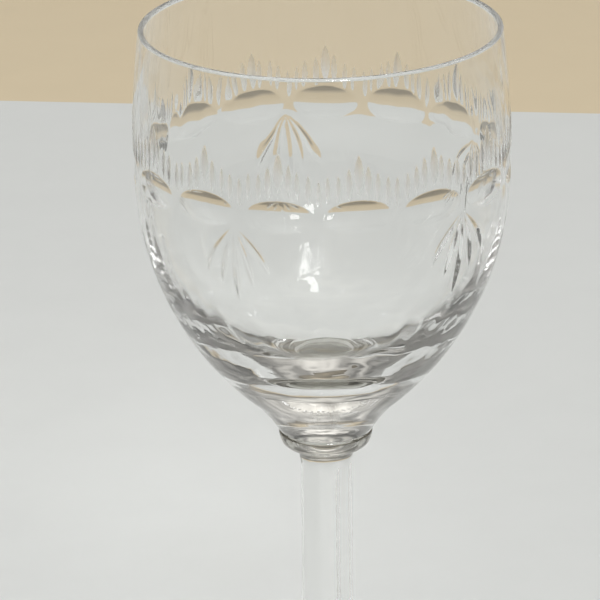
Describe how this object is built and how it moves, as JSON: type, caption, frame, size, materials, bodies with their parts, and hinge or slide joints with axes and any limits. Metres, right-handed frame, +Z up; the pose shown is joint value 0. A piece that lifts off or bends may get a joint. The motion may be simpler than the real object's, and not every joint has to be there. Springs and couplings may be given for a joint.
{
  "type": "wine glass",
  "caption": "Clear stemmed wine glass with a deep rounded bowl, a band of cut olives, upright fringe cuts and leaf sprays, a collar, a straight flat-cut stem and a round foot.",
  "frame": {"origin": "centre of the foot's standing ring, on the floor plane", "axes": "+Z up along the glass's own axis, -Y towards the front of the glass, +X to the right seen from the front"},
  "size_m": [0.075, 0.075, 0.16],
  "materials": {
    "clear_glass": "fire-polished clear glass with polished wheel cuts"
  },
  "bodies": {
    "root": {"bowl": "clear_glass", "collar": "clear_glass", "stem": "clear_glass", "foot": "clear_glass"}
  },
  "joints": []
}
